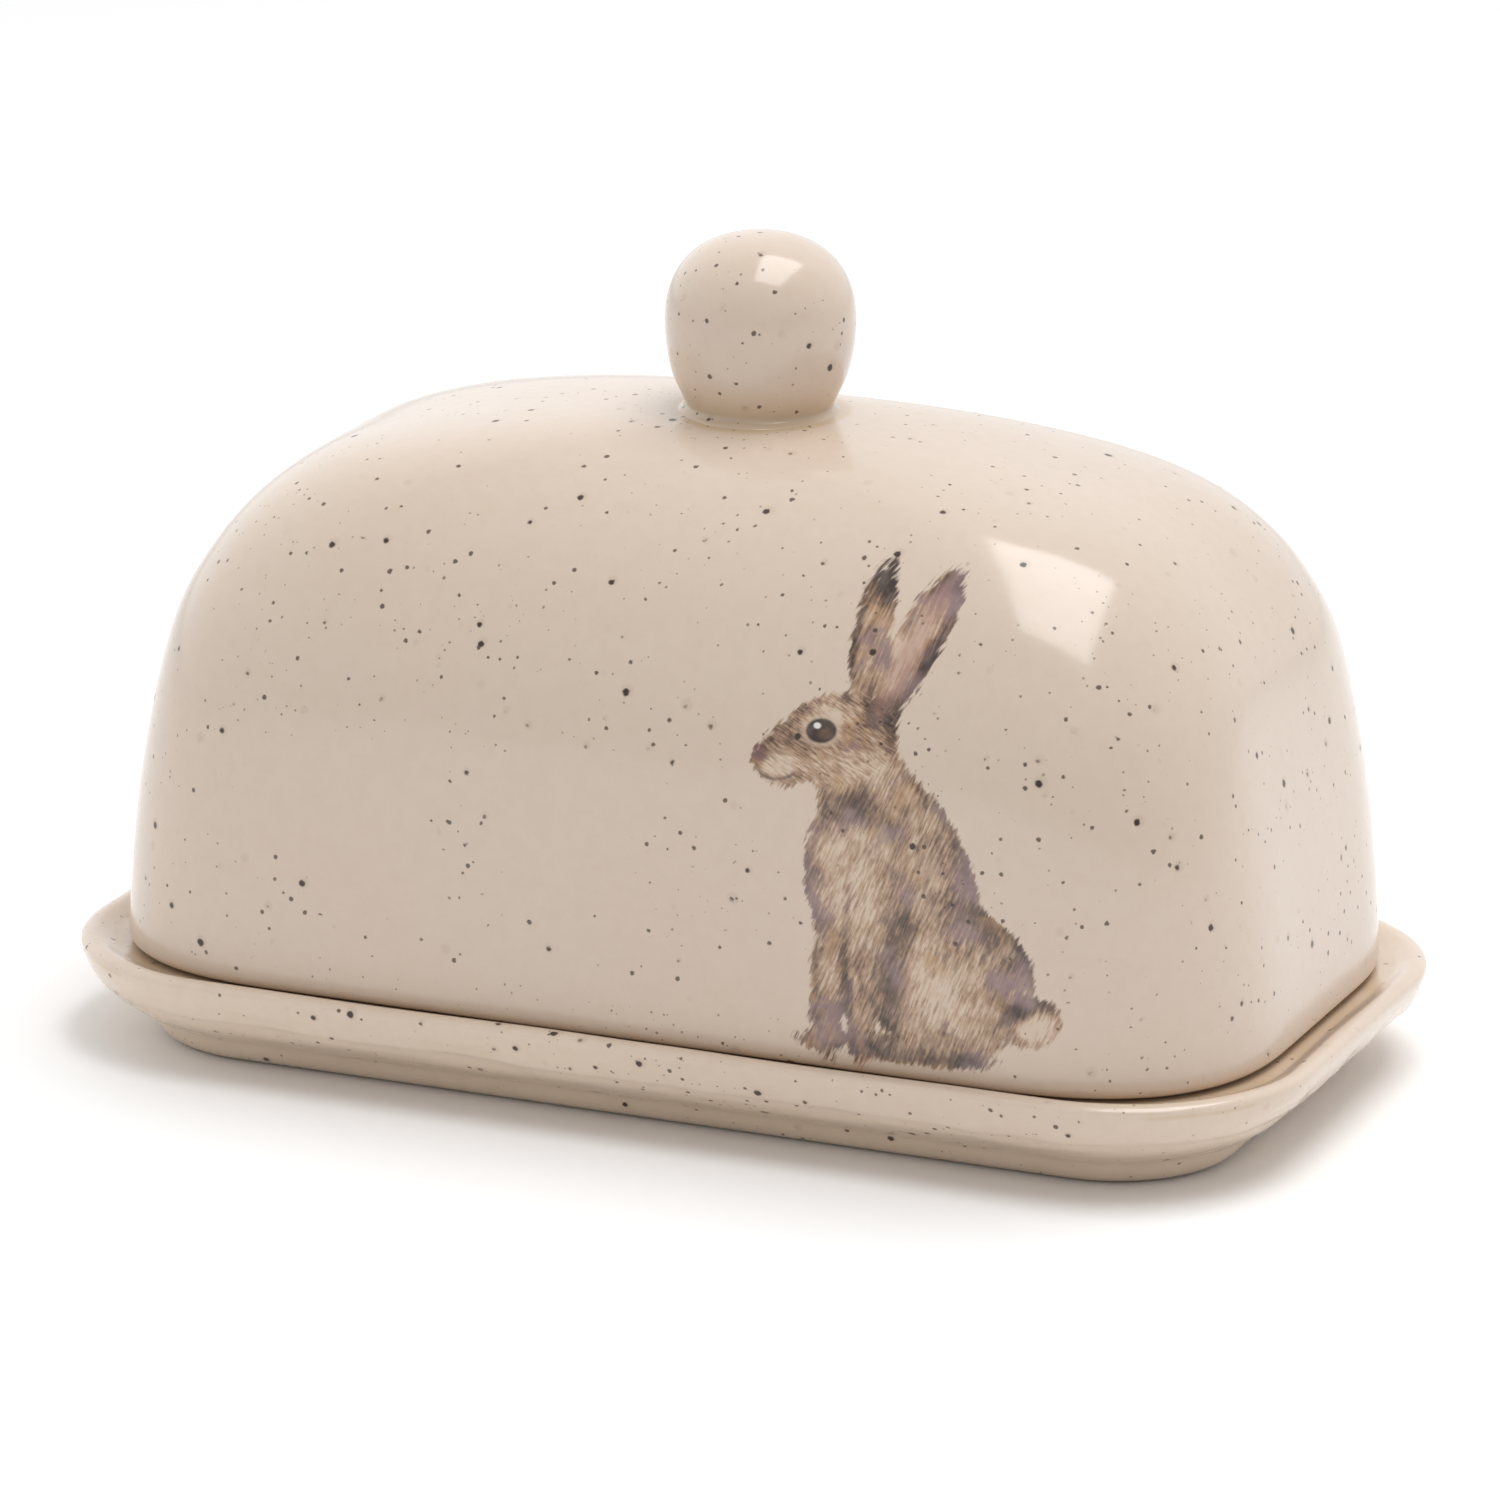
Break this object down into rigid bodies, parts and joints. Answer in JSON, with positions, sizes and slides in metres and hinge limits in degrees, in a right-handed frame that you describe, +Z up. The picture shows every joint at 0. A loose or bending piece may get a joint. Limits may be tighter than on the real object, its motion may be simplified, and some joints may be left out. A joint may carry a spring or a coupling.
{
  "type": "covered butter dish",
  "caption": "Covered stoneware butter dish: an oblong tray with a flared rounded rim, and a deep loaf-shaped lid with a ball knob that lifts straight off.",
  "frame": {"origin": "on the table, under the middle of the tray", "axes": "+X along the dish's length, -Y towards its front face, +Z up"},
  "size_m": [0.18, 0.1012, 0.1154],
  "materials": {
    "tray_glaze": "glossy, dark speckled",
    "lid_glaze": "glossy, dark speckled, watercolour print on the front",
    "knob_glaze": "glossy, dark speckled"
  },
  "bodies": {
    "tray": {"tray": "tray_glaze"},
    "lid": {"lid_dome": "lid_glaze", "lid_knob": "knob_glaze"}
  },
  "joints": [
    {"name": "lid_lift", "type": "slide", "parent": "tray", "child": "lid", "axis": [0, 0, 1], "range_m": [0, 0.12]}
  ]
}
